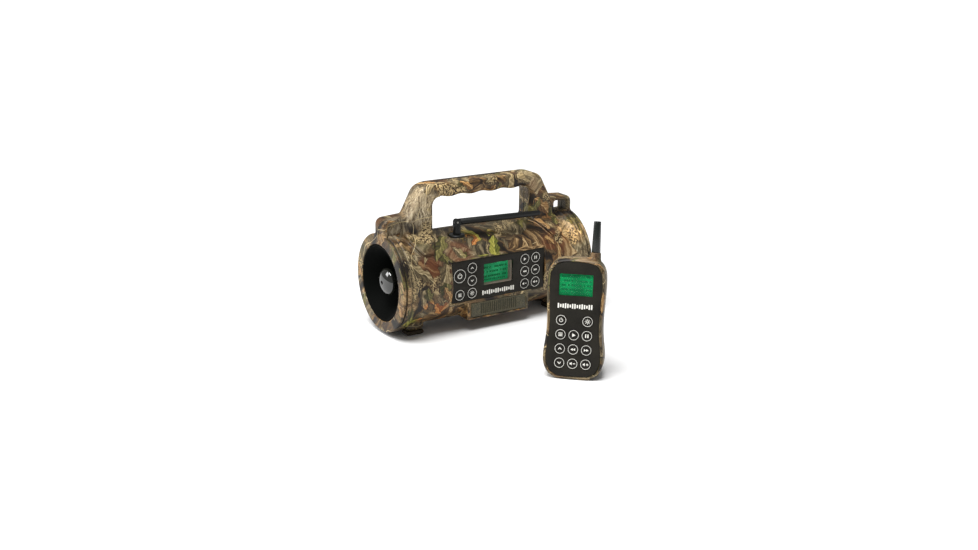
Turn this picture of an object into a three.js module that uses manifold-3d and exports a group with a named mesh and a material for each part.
// Electronic game caller with its handset. The caller is a loudspeaker tube with a horn at each end,
// moulded as a front and a rear half that carry the handle, the strap loops, the control panel and the
// battery box. The handset stands in front of it. Millimetres, +Z up, the tube lies along X.
import * as THREE from 'three';
import { mergeVertices } from 'three/addons/utils/BufferGeometryUtils.js';
import Module from 'manifold-3d';

const wasm = await Module();
wasm.setup();

// Fits
const GAP = 0.3;              // clearance between neighbouring pieces
const KEY_TRAVEL = 0.6;       // how far a key goes in
const KEY_PROUD = 0.5;        // how far a key stands out at rest

// Tube and rims
const HALF_LENGTH = 127;
const AXIS_Z = 59;            // height of the tube's centre line above the ground
const TUBE_R = 51.6;
const RIM_R = 56;
const RIM_START = 117;        // the rim band runs from here to the end of the tube
const LIP_START = 123.5;      // a groove parts the band from the lip at the very end
const BEAD_R = 55;            // narrow bead behind the rim band
const MOUTH_R = 43.4;
const WALL = 3;
const END_WALL = 6;
const CAVITY_R = TUBE_R - WALL;

// Handle
const GRIP_TOP_Z = 166.5;
const GRIP_UNDER_Z = 150.7;
const GRIP_HALF_DEPTH = 14;
const HAND_HALF_WIDTH = 65;
const HAND_CORNER = 9;
const FINGER_PITCH = 27.7;
const FINGER_DEPTH = 0.9;     // half the height from the top of a groove to the bottom of a bump
const LEG_FOOT_X = 101;
const SADDLE_R = 55;

// Strap loops
const LOOP_HALF_DEPTH = 11.2;
const LOOP_TOP_Z = 132.5;
const LOOP_WEB_Y = [-7, -4];
const LOOP_HOLE = { x0: 102, x1: 120.8, z0: 111, z1: 127.3 };

// Control panel
const PANEL_FRONT_Y = -48.2;
const PANEL_THICK = 2.9;
const PANEL_HALF_WIDTH = 62.1;
const PANEL_Z = [37.2, 84.6];
const PANEL_FRAME = 2.3;
const SCREEN = { x0: -20.4, x1: 18.9, z0: 51.4, z1: 77 };
const SCREEN_DEPTH = 11;
const KEY_R = 6.2;
const POWER_KEY_R = 8;
const KEY_ROWS = [75.1, 60.4, 45.7];
const LEFT_COLUMNS = [-52.3, -36.2];
const RIGHT_COLUMNS = [34.8, 49.8];
const POWER_KEY_Z = 67.9;

// Battery box
const BOX_HALF_WIDTH = 41.5;
const BOX_Z = [13.7, 35];
const DOOR_HALF_WIDTH = 36.9;
const DOOR_Z = [16, 32.9];
const DOOR_THICK = 2.5;
const CELL_R = 7;
const CELL_LENGTH = 50.5;

// Feet
const FOOT = { x: 95.8, y: 18, halfWidth: 10.6, halfDepth: 8, height: 4.5 };

// Horns
const HORN_MOUTH_X = 126.3;
const HORN_THROAT_X = 72;
const HORN_THROAT_R = 13;
const HORN_WALL = 1.6;
const PLUG_R = 15.4;

// Antenna
const ANTENNA = { x: -40.2, y: -21.5, seatZ: 106.3, pivotZ: 122.6, length: 104.9 };
const ANTENNA_YAW = THREE.MathUtils.degToRad(-6.5);
const KNUCKLE_R = 3.5;

// Handset: x across, y from the face to the back, z up the face
const HANDSET_FACE_INSET = 3.2;
const HANDSET_AT = [-25.8, -224.1];
const HANDSET_YAW = THREE.MathUtils.degToRad(-43.2);
const HANDSET_LEAN = THREE.MathUtils.degToRad(8);
const HANDSET_DEPTH = 26;
const HANDSET_SPLIT_Y = 10;
const HANDSET_SCREEN = { halfWidth: 17, z0: 86.5, z1: 108.7 };
const HANDSET_KEY_R = 5.4;
const HANDSET_KEY_PITCH_X = 13.4;
const HANDSET_KEY_PITCH_Z = 14.75;
const HANDSET_TOP_ROW_Z = 61.2;
const HANDSET_ANTENNA = { x: 17, y: 16, z0: 130, z1: 161.3 };

const COLOURS = {
  camo: 0x6f6048, black: 0x141414, panel: 0x1b1c1a, olive: 0x45472c, grey: 0x6c6a66, rubber: 0x2a2019,
  screen: 0x1e965a, glass: 0xb8c4bc, board: 0x1f5a35, steel: 0x9a9a9a, cell: 0x3a3a40, frame: 0x8a7f7a,
};

// ---- helpers ------------------------------------------------------------------------------------

function signedVolume(positions, corners) {
  const [a, b, c] = [new THREE.Vector3(), new THREE.Vector3(), new THREE.Vector3()];
  let total = 0;
  for (let i = 0; i < corners.length; i += 3) {
    a.fromArray(positions, corners[i] * 3);
    b.fromArray(positions, corners[i + 1] * 3);
    c.fromArray(positions, corners[i + 2] * 3);
    total += a.dot(b.cross(c)) / 6;
  }
  return total;
}

// A closed three.js geometry as a manifold solid, with its faces turned outwards.
function solid(geometry) {
  const bare = geometry.clone();
  bare.deleteAttribute('normal');
  bare.deleteAttribute('uv');
  const merged = mergeVertices(bare, 1e-4);
  const positions = Float32Array.from(merged.attributes.position.array);
  const corners = [];
  for (let i = 0; i < merged.index.count; i += 3) {
    const [a, b, c] = [merged.index.getX(i), merged.index.getX(i + 1), merged.index.getX(i + 2)];
    if (a !== b && b !== c && c !== a) corners.push(a, b, c);
  }
  if (signedVolume(positions, corners) < 0) corners.reverse();
  return new wasm.Manifold(new wasm.Mesh({
    numProp: 3,
    vertProperties: positions,
    triVerts: Uint32Array.from(corners),
  }));
}

function geometryOf(body) {
  const { vertProperties, triVerts } = body.getMesh();
  const geometry = new THREE.BufferGeometry();
  geometry.setAttribute('position', new THREE.BufferAttribute(Float32Array.from(vertProperties), 3));
  geometry.setIndex(Array.from(triVerts));
  geometry.computeVertexNormals();
  return geometry;
}

const join = (...bodies) => bodies.reduce((all, next) => all.add(next));
const cut = (body, ...tools) => tools.reduce((left, tool) => left.subtract(tool), body);

// A box between two corners.
function box(x0, x1, y0, y1, z0, z1) {
  const geometry = new THREE.BoxGeometry(x1 - x0, y1 - y0, z1 - z0);
  return solid(geometry.translate((x0 + x1) / 2, (y0 + y1) / 2, (z0 + z1) / 2));
}

// A cylinder along 'x', 'y' or 'z' from one coordinate to another, its axis through a point.
function rod(axis, from, to, radius, across, endRadius = radius, sides = 16) {
  const geometry = new THREE.CylinderGeometry(endRadius, radius, to - from, sides);
  const middle = (from + to) / 2;
  if (axis === 'x') geometry.rotateZ(-Math.PI / 2).translate(middle, across[0], across[1]);
  if (axis === 'y') geometry.translate(across[0], middle, across[1]);
  if (axis === 'z') geometry.rotateX(Math.PI / 2).translate(across[0], across[1], middle);
  return solid(geometry);
}

// A solid turned about the tube's centre line, from a profile of [x, radius] points.
function turned(profile, sides = 36) {
  const points = profile.map(([x, r]) => new THREE.Vector2(r, x));
  const geometry = new THREE.LatheGeometry(points, sides).rotateZ(-Math.PI / 2);
  return solid(geometry.translate(0, 0, AXIS_Z));
}

// An outline in the XZ plane, extruded from one Y to another, with an optional chamfer on its edges.
function prism(outline, y0, y1, chamfer = 0) {
  const geometry = new THREE.ExtrudeGeometry(outline, {
    depth: y1 - y0 - 2 * chamfer,
    curveSegments: 5,
    bevelEnabled: chamfer > 0,
    bevelThickness: chamfer,
    bevelSize: chamfer,
    bevelOffset: -chamfer,
    bevelSegments: 1,
  });
  return solid(geometry.rotateX(Math.PI / 2).translate(0, y1 - chamfer, 0));
}

function roundedRect(x0, x1, z0, z1, r, path = new THREE.Shape()) {
  path.moveTo(x0 + r, z0);
  path.lineTo(x1 - r, z0);
  path.absarc(x1 - r, z0 + r, r, -Math.PI / 2, 0);
  path.lineTo(x1, z1 - r);
  path.absarc(x1 - r, z1 - r, r, 0, Math.PI / 2);
  path.lineTo(x0 + r, z1);
  path.absarc(x0 + r, z1 - r, r, Math.PI / 2, Math.PI);
  path.lineTo(x0, z0 + r);
  path.absarc(x0 + r, z0 + r, r, Math.PI, 1.5 * Math.PI);
  return path;
}

const mirrored = (points) => points.map(([x, z]) => [-x, z]).reverse();

function outlineOf(points) {
  return new THREE.Shape(points.map(([x, z]) => new THREE.Vector2(x, z)));
}

function addPart(group, name, body, colour, roughness = 0.6, metalness = 0) {
  const material = new THREE.MeshStandardMaterial({ color: COLOURS[colour], roughness, metalness });
  const mesh = new THREE.Mesh(geometryOf(body), material);
  mesh.name = name;
  group.add(mesh);
}

// ---- caller: moulded halves ---------------------------------------------------------------------

function tubeOutside() {
  const end = [
    [HALF_LENGTH - 23, TUBE_R], [HALF_LENGTH - 17, BEAD_R - 1], [HALF_LENGTH - 16, BEAD_R],
    [RIM_START - 2.8, BEAD_R], [RIM_START - 2.1, BEAD_R - 0.8], [RIM_START - 1, BEAD_R - 0.8],
    [RIM_START, RIM_R - 0.3], [LIP_START - 1.9, RIM_R - 0.3], [LIP_START - 1.6, RIM_R - 1.9],
    [LIP_START - 0.4, RIM_R - 1.9], [LIP_START, RIM_R], [HALF_LENGTH - 1.2, RIM_R],
    [HALF_LENGTH, RIM_R - 1.2], [HALF_LENGTH, 0],
  ];
  return turned([...mirrored(end), ...end]);
}

function tubeInside() {
  const inner = HALF_LENGTH - END_WALL;
  const end = [[inner, CAVITY_R], [inner, MOUTH_R + GAP], [HALF_LENGTH + 1, MOUTH_R + GAP]];
  end.push([HALF_LENGTH + 1, 0]);
  return turned([...mirrored(end), ...end]);
}

// The handle is a U turned upside down, its grip hollowed under four finger bumps.
function handle() {
  const outer = [[LEG_FOOT_X, 100], [LEG_FOOT_X - 0.5, 128], [94.5, 135.6], [83, 157.2]];
  const corner = new THREE.QuadraticBezierCurve(
    new THREE.Vector2(83, 157.2),
    new THREE.Vector2(78, GRIP_TOP_Z),
    new THREE.Vector2(62, GRIP_TOP_Z),
  );
  const right = [...outer, ...corner.getPoints(4).slice(1).map((p) => [p.x, p.y])];
  const under = [];
  const lastBump = 2 * FINGER_PITCH;
  for (let x = lastBump; x >= -lastBump; x -= FINGER_PITCH / 4) {
    under.push([x, GRIP_UNDER_Z + FINGER_DEPTH * Math.cos((2 * Math.PI * x) / FINGER_PITCH)]);
  }
  const cornerArc = [];
  for (let step = 0; step <= 4; step += 1) {
    const angle = (step / 4) * (Math.PI / 2);
    const x = HAND_HALF_WIDTH - HAND_CORNER * (1 - Math.cos(angle));
    cornerArc.push([x, GRIP_UNDER_Z + FINGER_DEPTH - HAND_CORNER * (1 - Math.sin(angle))]);
  }
  const rightInner = [[HAND_HALF_WIDTH, 100], ...cornerArc];
  const points = [...right.reverse(), ...rightInner, ...under, ...mirrored(rightInner)];
  const shape = outlineOf([...points, ...mirrored(right)]);
  const grip = prism(shape, -GRIP_HALF_DEPTH, GRIP_HALF_DEPTH, 4);
  const hollow = box(-60, 60, -10, 10, GRIP_UNDER_Z + 4, GRIP_TOP_Z - 3.5);
  return cut(grip, hollow);
}

// Each leg spreads into a saddle that hugs the tube, front and back.
function saddle(side) {
  const points = [
    [65, 118], [65, 113], [72, 106], [77, 99], [80, 95.5], [93, 95.5], [96, 99], [LEG_FOOT_X, 107],
    [LEG_FOOT_X, 118],
  ];
  const outline = outlineOf(side > 0 ? points : mirrored(points));
  return prism(outline, -45, 45).intersect(rod('x', -110, 110, SADDLE_R, [0, AXIS_Z], SADDLE_R, 36));
}

// The left loop is closed by a web near its front, so that only the right one is open right through.
function strapLoop(side) {
  const r = 8;
  const outline = new THREE.Shape();
  outline.moveTo(96, 110);
  outline.lineTo(HALF_LENGTH, 110);
  outline.lineTo(HALF_LENGTH, LOOP_TOP_Z - r);
  outline.absarc(HALF_LENGTH - r, LOOP_TOP_Z - r, r, 0, Math.PI / 2);
  outline.lineTo(96, LOOP_TOP_Z + 1.5);
  outline.closePath();
  const { x0, x1, z0, z1 } = LOOP_HOLE;
  outline.holes.push(roundedRect(x0, x1, z0, z1, 3, new THREE.Path()));
  const loop = new THREE.ExtrudeGeometry(outline, {
    depth: 2 * LOOP_HALF_DEPTH, curveSegments: 5, bevelEnabled: false,
  });
  loop.rotateX(Math.PI / 2).translate(0, LOOP_HALF_DEPTH, 0).scale(side, 1, 1);
  if (side > 0) {
    return solid(loop);
  }
  const web = box(-x1 - 1, -x0 + 1, LOOP_WEB_Y[0], LOOP_WEB_Y[1], z0 - 1, z1 + 1);
  return solid(loop).add(web);
}

function panelPod() {
  const x = PANEL_HALF_WIDTH + PANEL_FRAME;
  const outline = roundedRect(-x, x, PANEL_Z[0] - PANEL_FRAME, PANEL_Z[1] + PANEL_FRAME, 3);
  return prism(outline, PANEL_FRONT_Y - 0.4, -20, 1.6);
}

function panelPocket() {
  const x = PANEL_HALF_WIDTH + GAP;
  const back = PANEL_FRONT_Y + PANEL_THICK + GAP;
  const { x0, x1, z0, z1 } = SCREEN;
  const screenWell = box(x0 - 3, x1 + 3, -60, -30, z0 - 2.7, z1 + 2.7);
  return box(-x, x, -60, back, PANEL_Z[0] - GAP, PANEL_Z[1] + GAP).add(screenWell);
}

function batteryBox() {
  const outline = roundedRect(-BOX_HALF_WIDTH, BOX_HALF_WIDTH, ...BOX_Z, 2);
  return prism(outline, PANEL_FRONT_Y, -5, 1);
}

// The door's recess, the way in to the tray, and a socket at each end for the door's pivots.
function batteryOpening() {
  const doorBack = PANEL_FRONT_Y + DOOR_THICK + GAP;
  const x = DOOR_HALF_WIDTH + GAP;
  const recess = box(-x, x, -60, doorBack, DOOR_Z[0] - GAP, DOOR_Z[1] + GAP);
  const wayIn = box(-x + 1, x - 1, -50, 20, DOOR_Z[0] + 0.7, DOOR_Z[1] - 0.3);
  const sockets = rod('x', -DOOR_HALF_WIDTH - 1.9, DOOR_HALF_WIDTH + 1.9, 1.3, doorPivot(), 1.3, 12);
  return join(recess, wayIn, sockets);
}

function footBosses() {
  const bosses = [];
  for (const sideX of [-1, 1]) {
    for (const sideY of [-1, 1]) {
      const [x, y] = [sideX * FOOT.x, sideY * FOOT.y];
      const [dx, dy] = [FOOT.halfWidth, FOOT.halfDepth];
      bosses.push(box(x - dx, x + dx, y - dy, y + dy, FOOT.height + GAP, 20));
    }
  }
  return join(...bosses);
}

const SCREW_PLACES = [
  { x: -80, z: 141, backY: GRIP_HALF_DEPTH }, { x: 80, z: 141, backY: GRIP_HALF_DEPTH },
  { x: -80, z: AXIS_Z, backY: TUBE_R }, { x: 80, z: AXIS_Z, backY: TUBE_R },
];

function screwHole({ x, z, backY }) {
  const head = rod('y', backY - 2.2, backY + 3, 3.6, [x, z], 3.6, 16);
  return head.add(rod('y', backY - 12.5, backY, 2, [x, z], 2, 12));
}

function screw({ x, z, backY }) {
  const head = rod('y', backY - 1.9, backY - 0.1, 3.2, [x, z], 3.2, 16);
  const slot = box(x - 2, x + 2, backY - 0.8, backY + 1, z - 0.4, z + 0.4);
  return cut(head.add(rod('y', backY - 12, backY - 1.8, 1.6, [x, z], 1.6, 12)), slot);
}

function addShells(group) {
  const antennaSeat = rod('z', 90, ANTENNA.seatZ, 10, [ANTENNA.x, ANTENNA.y]);
  const spotFace = rod('z', ANTENNA.seatZ, 118, 10.2, [ANTENNA.x, ANTENNA.y]);
  const cableHole = rod('z', 90, 118, 2.6, [ANTENNA.x, ANTENNA.y]);
  const outside = join(
    tubeOutside(), handle(), saddle(-1), saddle(1), strapLoop(-1), strapLoop(1), panelPod(),
    batteryBox(), footBosses(), antennaSeat,
  );
  const body = cut(outside, tubeInside(), panelPocket(), batteryOpening(), spotFace, cableHole);
  const front = body.intersect(box(-200, 200, -200, -GAP / 2, -10, 300));
  const rear = body.intersect(box(-200, 200, GAP / 2, 200, -10, 300));
  addPart(group, 'front_shell', front, 'camo');
  addPart(group, 'rear_shell', cut(rear, ...SCREW_PLACES.map(screwHole)), 'camo');
  SCREW_PLACES.forEach((place, i) => addPart(group, `shell_screw_${i + 1}`, screw(place), 'steel', 0.35, 0.9));
}

function addFeet(group) {
  for (const [sideX, xName] of [[-1, 'left'], [1, 'right']]) {
    for (const [sideY, yName] of [[-1, 'front'], [1, 'rear']]) {
      const [x, y] = [sideX * FOOT.x, sideY * FOOT.y];
      const outline = roundedRect(-FOOT.halfWidth, FOOT.halfWidth, -FOOT.halfDepth, FOOT.halfDepth, 3);
      const block = new THREE.ExtrudeGeometry(outline, {
        depth: FOOT.height, curveSegments: 4, bevelEnabled: false,
      });
      addPart(group, `foot_${yName}_${xName}`, solid(block.translate(x, y, 0)), 'rubber', 0.9);
    }
  }
}

// ---- caller: horns ------------------------------------------------------------------------------

function hornBell() {
  const growth = Math.log((MOUTH_R - HORN_WALL) / HORN_THROAT_R);
  const inner = [];
  const outer = [];
  const steps = 6;
  for (let step = 0; step <= steps; step += 1) {
    const x = HORN_THROAT_X + (HORN_MOUTH_X - HORN_THROAT_X) * (step / steps);
    const r = HORN_THROAT_R * Math.exp(growth * (step / steps));
    inner.push([x, r]);
    outer.push([x, r + HORN_WALL]);
  }
  const flangeX = HALF_LENGTH - END_WALL - GAP;
  const flange = [[flangeX, MOUTH_R - 2.9], [flangeX, 47], [flangeX - 2.5, 47], [flangeX - 2.5, 38.9]];
  const rearFlange = [[HORN_THROAT_X + 2, 15], [HORN_THROAT_X + 2, 24], [HORN_THROAT_X, 24]];
  const middle = outer.slice(1, steps).reverse();
  const profile = [...inner, outer[steps], ...flange, ...middle, ...rearFlange, inner[0]];
  return turned(profile, 24);
}

// The plug is a dome on a cone, on a stem that reaches back to the driver.
function phasePlug() {
  const domeStart = 116.8;
  const domeHeight = 8;
  const stemR = 4;
  const holeR = 2.2;
  const dome = [];
  for (let step = 0; step <= 4; step += 1) {
    const angle = (step / 4) * (Math.PI / 2);
    dome.push([domeStart + domeHeight * Math.sin(angle), PLUG_R * Math.cos(angle)]);
  }
  const stem = [[HORN_THROAT_X - 1.2, 0], [HORN_THROAT_X - 1.2, stemR], [101.5, stemR]];
  const back = [...stem, [113.8, PLUG_R]];
  const plug = turned([...back, ...dome], 20);
  return cut(plug, rod('x', 117, 130, holeR, [0, AXIS_Z], holeR, 16));
}

function driver() {
  const front = HORN_THROAT_X - GAP;
  const profile = [[41, 0], [41, 16], [45, 16], [46, 22], [60, 22], [61, 24], [front, 24], [front, 0]];
  const pocket = rod('x', HORN_THROAT_X - 1.6, 80, 10, [0, AXIS_Z]);
  return cut(turned(profile, 20), pocket);
}

function mirroredCopy(body) {
  return solid(geometryOf(body).scale(-1, 1, 1));
}

function addHorns(group) {
  const makers = [
    ['horn', hornBell(), 'black', 0.45], ['phase_plug', phasePlug(), 'grey', 0.25],
    ['driver', driver(), 'black', 0.7],
  ];
  for (const [name, body, colour, roughness] of makers) {
    addPart(group, `right_${name}`, body, colour, roughness);
    addPart(group, `left_${name}`, mirroredCopy(body), colour, roughness);
  }
}

// ---- caller: control panel ----------------------------------------------------------------------

const [LEFT_OUTER, LEFT_INNER] = LEFT_COLUMNS;
const [RIGHT_INNER, RIGHT_OUTER] = RIGHT_COLUMNS;
const CALLER_KEYS = [
  { name: 'power', x: LEFT_OUTER, z: POWER_KEY_Z, r: POWER_KEY_R },
  { name: 'mode', x: LEFT_OUTER, z: KEY_ROWS[2], r: KEY_R },
  { name: 'up', x: LEFT_INNER, z: KEY_ROWS[0], r: KEY_R },
  { name: 'down', x: LEFT_INNER, z: KEY_ROWS[1], r: KEY_R },
  { name: 'light', x: LEFT_INNER, z: KEY_ROWS[2], r: KEY_R },
  { name: 'play', x: RIGHT_INNER, z: KEY_ROWS[0], r: KEY_R },
  { name: 'pause', x: RIGHT_OUTER, z: KEY_ROWS[0], r: KEY_R },
  { name: 'back', x: RIGHT_INNER, z: KEY_ROWS[1], r: KEY_R },
  { name: 'forward', x: RIGHT_OUTER, z: KEY_ROWS[1], r: KEY_R },
  { name: 'volume_down', x: RIGHT_INNER, z: KEY_ROWS[2], r: KEY_R },
  { name: 'volume_up', x: RIGHT_OUTER, z: KEY_ROWS[2], r: KEY_R },
];

// A key is a low disc with its edge eased, its face towards -Y.
function keyCap(x, z, r, faceY, backY) {
  const points = [[0, faceY], [r - 0.5, faceY], [r, faceY + 0.4], [r, backY], [0, backY]];
  const profile = points.map(([radius, y]) => new THREE.Vector2(radius, y));
  return solid(new THREE.LatheGeometry(profile, 12).translate(x, 0, z));
}

function addControlPanel(group) {
  const front = PANEL_FRONT_Y;
  const back = PANEL_FRONT_Y + PANEL_THICK;
  const plate = roundedRect(-PANEL_HALF_WIDTH, PANEL_HALF_WIDTH, ...PANEL_Z, 2);
  const { x0, x1, z0, z1 } = SCREEN;
  plate.holes.push(roundedRect(x0, x1, z0, z1, 1, new THREE.Path()));
  const holes = CALLER_KEYS.map(({ x, z, r }) => rod('y', front - 1, back + 1, r + GAP, [x, z]));
  addPart(group, 'control_panel', cut(prism(plate, front, back), ...holes), 'panel', 0.5);
  for (const { name, x, z, r } of CALLER_KEYS) {
    addPart(group, `key_${name}`, keyCap(x, z, r, front - KEY_PROUD, back - GAP), 'panel', 0.4);
  }

  const lcdFace = front + SCREEN_DEPTH;
  const housing = box(x0 - 2.5, x1 + 2.5, back + GAP, lcdFace + 3, z0 - 2.2, z1 + 2.2);
  const well = box(x0, x1, front - 1, lcdFace, z0, z1);
  addPart(group, 'screen_module', cut(housing, well), 'frame', 0.6);
  const pane = roundedRect(x0 + GAP, x1 - GAP, z0 + GAP, z1 - GAP, 1);
  addPart(group, 'screen_window', prism(pane, front + 0.1, front + 1.5), 'glass', 0.1);

  const boardFront = back + GAP + KEY_TRAVEL + 0.4;
  const board = box(-58, 58, boardFront, boardFront + 1.6, 42, 76.5);
  const notch = box(x0 - 3, x1 + 3, -60, 0, z0 - 2.8, 90);
  addPart(group, 'main_board', cut(board, notch), 'board', 0.5);
}

// ---- caller: battery bay ------------------------------------------------------------------------

// Y and Z of the line that the battery door turns about.
function doorPivot() {
  return [PANEL_FRONT_Y + DOOR_THICK / 2, DOOR_Z[0] + DOOR_THICK / 2];
}

function batteryDoor() {
  const [pivotY, pivotZ] = doorPivot();
  const front = PANEL_FRONT_Y;
  const x = DOOR_HALF_WIDTH;
  const plate = box(-x, x, front, front + DOOR_THICK, pivotZ, DOOR_Z[1]);
  const lowerEdge = rod('x', -x, x, DOOR_THICK / 2, [pivotY, pivotZ], DOOR_THICK / 2, 16);
  const pivots = rod('x', -x - 1.5, x + 1.5, 1, [pivotY, pivotZ], 1, 12);
  const grooves = [];
  const ribPitch = 2.9;
  for (let i = -8; i <= 8; i += 1) {
    const middle = i * ribPitch;
    grooves.push(box(middle - 0.7, middle + 0.7, front - 1, front + 0.8, DOOR_Z[0] + 3, DOOR_Z[1] - 1.5));
  }
  return cut(join(plate, lowerEdge, pivots), ...grooves);
}

function addBatteryBay(group) {
  addPart(group, 'battery_door', batteryDoor(), 'olive', 0.7);
  const [y0, y1] = [PANEL_FRONT_Y + DOOR_THICK + 3, 14];
  const [x, z0, z1] = [35.6, DOOR_Z[0] + 1, DOOR_Z[0] + 9];
  const inside = box(-x + 1, x - 1, y0 + 1, y1 - 1, z0 + 0.8, z1 + 5);
  addPart(group, 'battery_tray', cut(box(-x, x, y0, y1, z0, z1), inside), 'black', 0.7);

  const cellZ = z0 + 0.8 + GAP + CELL_R;
  const cellStart = y0 + 1 + GAP;
  const cells = [-25.5, -8.5, 8.5, 25.5].map((cellX) => {
    const [at, end] = [[cellX, cellZ], cellStart + CELL_LENGTH];
    return rod('y', cellStart, end, CELL_R, at, CELL_R, 14).add(rod('y', end - 0.2, end + 1, 2.7, at, 2.7, 8));
  });
  const wrap = box(-25.5, 25.5, cellStart + 2, cellStart + CELL_LENGTH - 2, cellZ - 0.5, cellZ + 0.5);
  addPart(group, 'battery_pack', join(wrap, ...cells), 'cell', 0.4, 0.3);
}

// ---- caller: antenna ----------------------------------------------------------------------------

function addAntenna(group) {
  const at = [ANTENNA.x, ANTENNA.y];
  const flangeTop = ANTENNA.seatZ + GAP + 2.2;
  const post = rod('z', ANTENNA.seatZ - 6, flangeTop + 4, 2.1, at, 2.1, 16);
  const flange = rod('z', ANTENNA.seatZ + GAP, flangeTop, 9.2, at, 8.6, 32);
  addPart(group, 'antenna_base', flange.add(post), 'black', 0.5);

  // The stub and the arm are built with the pivot at the origin and the arm along +X.
  const turnedGroup = new THREE.Group();
  turnedGroup.position.set(ANTENNA.x, ANTENNA.y, ANTENNA.pivotZ);
  turnedGroup.rotation.z = ANTENNA_YAW;
  group.add(turnedGroup);
  const foot = flangeTop + GAP - ANTENNA.pivotZ;
  const slotHalf = 1.8;
  const cheeks = join(
    rod('y', -3.2, 3.2, KNUCKLE_R, [0, 0], KNUCKLE_R, 20),
    box(-KNUCKLE_R, KNUCKLE_R, -3.2, 3.2, -5.6, 0),
    rod('z', foot, -5, 4.6, [0, 0], 3.9, 20),
  );
  const slot = box(-9, 9, -slotHalf, slotHalf, -4.2, 9);
  const pinHole = rod('y', -9, 9, 1.1 + GAP, [0, 0], 1.1 + GAP, 12);
  const bore = rod('z', foot - 1, foot + 5, 2.1 + GAP, [0, 0], 2.1 + GAP, 16);
  addPart(turnedGroup, 'antenna_swivel', cut(cheeks, slot, pinHole, bore), 'black', 0.5);
  addPart(turnedGroup, 'antenna_pin', rod('y', -3.1, 3.1, 1.1, [0, 0], 1.1, 12), 'steel', 0.3, 0.9);

  const tongue = slotHalf - GAP;
  const blade = join(
    rod('y', -tongue, tongue, 3.4, [0, 0], 3.4, 20),
    box(0, 6, -tongue, tongue, -3.4, 3.4),
    taperedBar(4.4, ANTENNA.length, 3.5, 3.1),
  );
  addPart(turnedGroup, 'antenna_arm', cut(blade, pinHole), 'black', 0.5);
}

// An eight-sided bar along X, half as high as given at each end, with its corners cut.
function taperedBar(start, end, startHalf, endHalf) {
  const bar = new THREE.CylinderGeometry(endHalf / 0.924, startHalf / 0.924, end - start, 8);
  bar.rotateY(Math.PI / 8).rotateZ(-Math.PI / 2);
  return solid(bar.translate((start + end) / 2, 0, 0));
}

// ---- handset ------------------------------------------------------------------------------------

// Half of the handset's waisted outline, from the middle of its base to the middle of its top.
const HANDSET_EDGE = [
  [0, 0], [17, 0], [26.5, 5.5], [31, 16], [31, 28], [28.4, 46], [28, 62], [29.2, 84], [29.8, 100],
  [28.8, 112], [23.5, 120.5], [14, 123.8], [0, 124.5],
];

function handsetOutline(inset) {
  const half = HANDSET_EDGE.map(([x, z]) => {
    const middle = 62;
    return [x * (1 - inset / 31), middle + (z - middle) * (1 - inset / middle)];
  });
  return outlineOf([...half, ...mirrored(half.slice(1, -1))]);
}

const HANDSET_KEYS = [['power', -1, 0], ['light', 1, 0]];
const HANDSET_KEY_NAMES = [
  ['mode', 'play', 'pause'], ['up', 'back', 'forward'], ['down', 'volume_down', 'volume_up'],
];
HANDSET_KEY_NAMES.forEach((names, row) => {
  names.forEach((name, column) => HANDSET_KEYS.push([name, column - 1, row + 1]));
});

function addHandsetShells(group) {
  const back = HANDSET_DEPTH;
  const [x, y] = [HANDSET_ANTENNA.x, HANDSET_ANTENNA.y];
  const boss = rod('z', 112, HANDSET_ANTENNA.z0 - GAP, 5.8, [x, y], 5.2, 20);
  const groundBelow = (z) => solid(
    new THREE.BoxGeometry(200, 200, 40).translate(0, 0, z - 20).rotateX(HANDSET_LEAN),
  );
  const outside = cut(join(prism(handsetOutline(0), 0, back, 3), boss), groundBelow(0));
  const inside = cut(prism(handsetOutline(2.6), 3, back - 2.2), groundBelow(2.4));
  const antennaBore = rod('z', 118, 140, 2.3, [x, y], 2.3, 12);
  const facePocket = prism(handsetOutline(HANDSET_FACE_INSET), -5, 1.6);
  const keypad = box(-20, 20, -5, 5, 10, 68);
  const { halfWidth, z0, z1 } = HANDSET_SCREEN;
  const screen = box(-halfWidth - 1, halfWidth + 1, -5, 5, z0 - 1, z1 + 1);
  const body = cut(outside, inside, antennaBore, facePocket, keypad, screen);
  const splitY = HANDSET_SPLIT_Y;
  const frontHalf = body.intersect(box(-50, 50, -50, splitY - GAP / 2, -50, 200));
  const backHalf = body.intersect(box(-50, 50, splitY + GAP / 2, 50, -50, 200));
  const coverHole = box(-18 - GAP, 18 + GAP, back - 2.4, back + 1, 22 - GAP, 78 + GAP);
  addPart(group, 'handset_front_shell', frontHalf, 'camo');
  addPart(group, 'handset_rear_shell', cut(backHalf, coverHole), 'camo');
  const cover = prism(roundedRect(-18, 18, 22, 78, 1), back - 2.1, back);
  addPart(group, 'handset_battery_cover', cover, 'camo');
}

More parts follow.
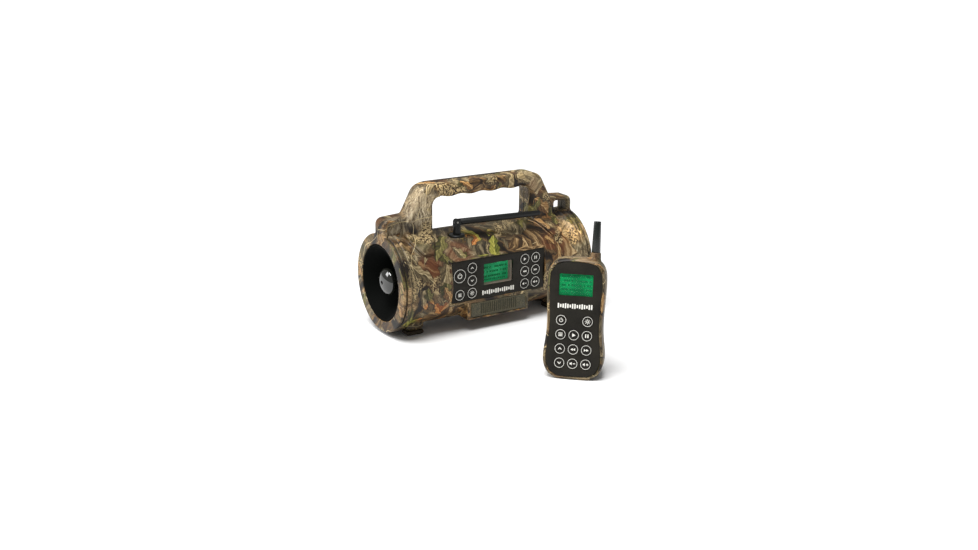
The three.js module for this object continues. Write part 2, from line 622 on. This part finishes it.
function addHandsetFace(group) {
  const place = (column, row) => [
    column * HANDSET_KEY_PITCH_X, HANDSET_TOP_ROW_Z - row * HANDSET_KEY_PITCH_Z,
  ];
  const { halfWidth, z0, z1 } = HANDSET_SCREEN;
  const holes = HANDSET_KEYS.map(([, column, row]) => (
    rod('y', -2, 3, HANDSET_KEY_R + GAP, place(column, row))
  ));
  const window = box(-halfWidth, halfWidth, -2, 3, z0, z1);
  const face = cut(prism(handsetOutline(HANDSET_FACE_INSET + GAP), 0, 1.3), window, ...holes);
  addPart(group, 'handset_face', face, 'panel', 0.35);
  for (const [name, column, row] of HANDSET_KEYS) {
    const cap = keyCap(...place(column, row), HANDSET_KEY_R, -0.4, 2.6);
    addPart(group, `handset_key_${name}`, cap, 'panel', 0.4);
  }
  const pane = box(-halfWidth + GAP, halfWidth - GAP, 0.1, 1.2, z0 + GAP, z1 - GAP);
  addPart(group, 'handset_screen_window', pane, 'glass', 0.1);
  const module = box(-halfWidth, halfWidth, 1.6, 4.4, z0, z1);
  addPart(group, 'handset_screen_module', module, 'screen', 0.5);
}

function addHandset(group) {
  addHandsetShells(group);
  addHandsetFace(group);
  addPart(group, 'handset_board', box(-22, 22, 5.2, 6.8, 12, 114), 'board', 0.5);
  const cells = [-7.6, 7.6].map((x) => rod('z', 24, 24 + CELL_LENGTH, CELL_R, [x, 15.6]));
  const wrap = box(-7.6, 7.6, 15.1, 16.1, 27, 70);
  addPart(group, 'handset_battery_pack', join(wrap, ...cells), 'cell', 0.4, 0.3);
  const { x, y, z0, z1 } = HANDSET_ANTENNA;
  const whip = rod('z', z0, z1, 4.6, [x, y], 3.8, 8).add(rod('z', 120, z0 + 1, 2, [x, y], 2, 12));
  addPart(group, 'handset_antenna', whip, 'black', 0.5);
}

// ---- assembly -----------------------------------------------------------------------------------

const caller = new THREE.Group();
addShells(caller);
addFeet(caller);
addHorns(caller);
addControlPanel(caller);
addBatteryBay(caller);
addAntenna(caller);

const leaning = new THREE.Group();
leaning.rotation.x = -HANDSET_LEAN;
addHandset(leaning);
const handset = new THREE.Group();
handset.position.set(...HANDSET_AT, 0);
handset.rotation.z = HANDSET_YAW;
handset.add(leaning);

// The origin is the middle of the ground that the two pieces stand on together.
const assembly = new THREE.Group();
assembly.add(caller, handset);
assembly.updateMatrixWorld(true);
const extent = new THREE.Box3().setFromObject(assembly, true);
const middle = extent.getCenter(new THREE.Vector3());
assembly.position.set(-middle.x, -middle.y, -extent.min.z);

const gameCaller = new THREE.Group();
gameCaller.add(assembly);
export default gameCaller;
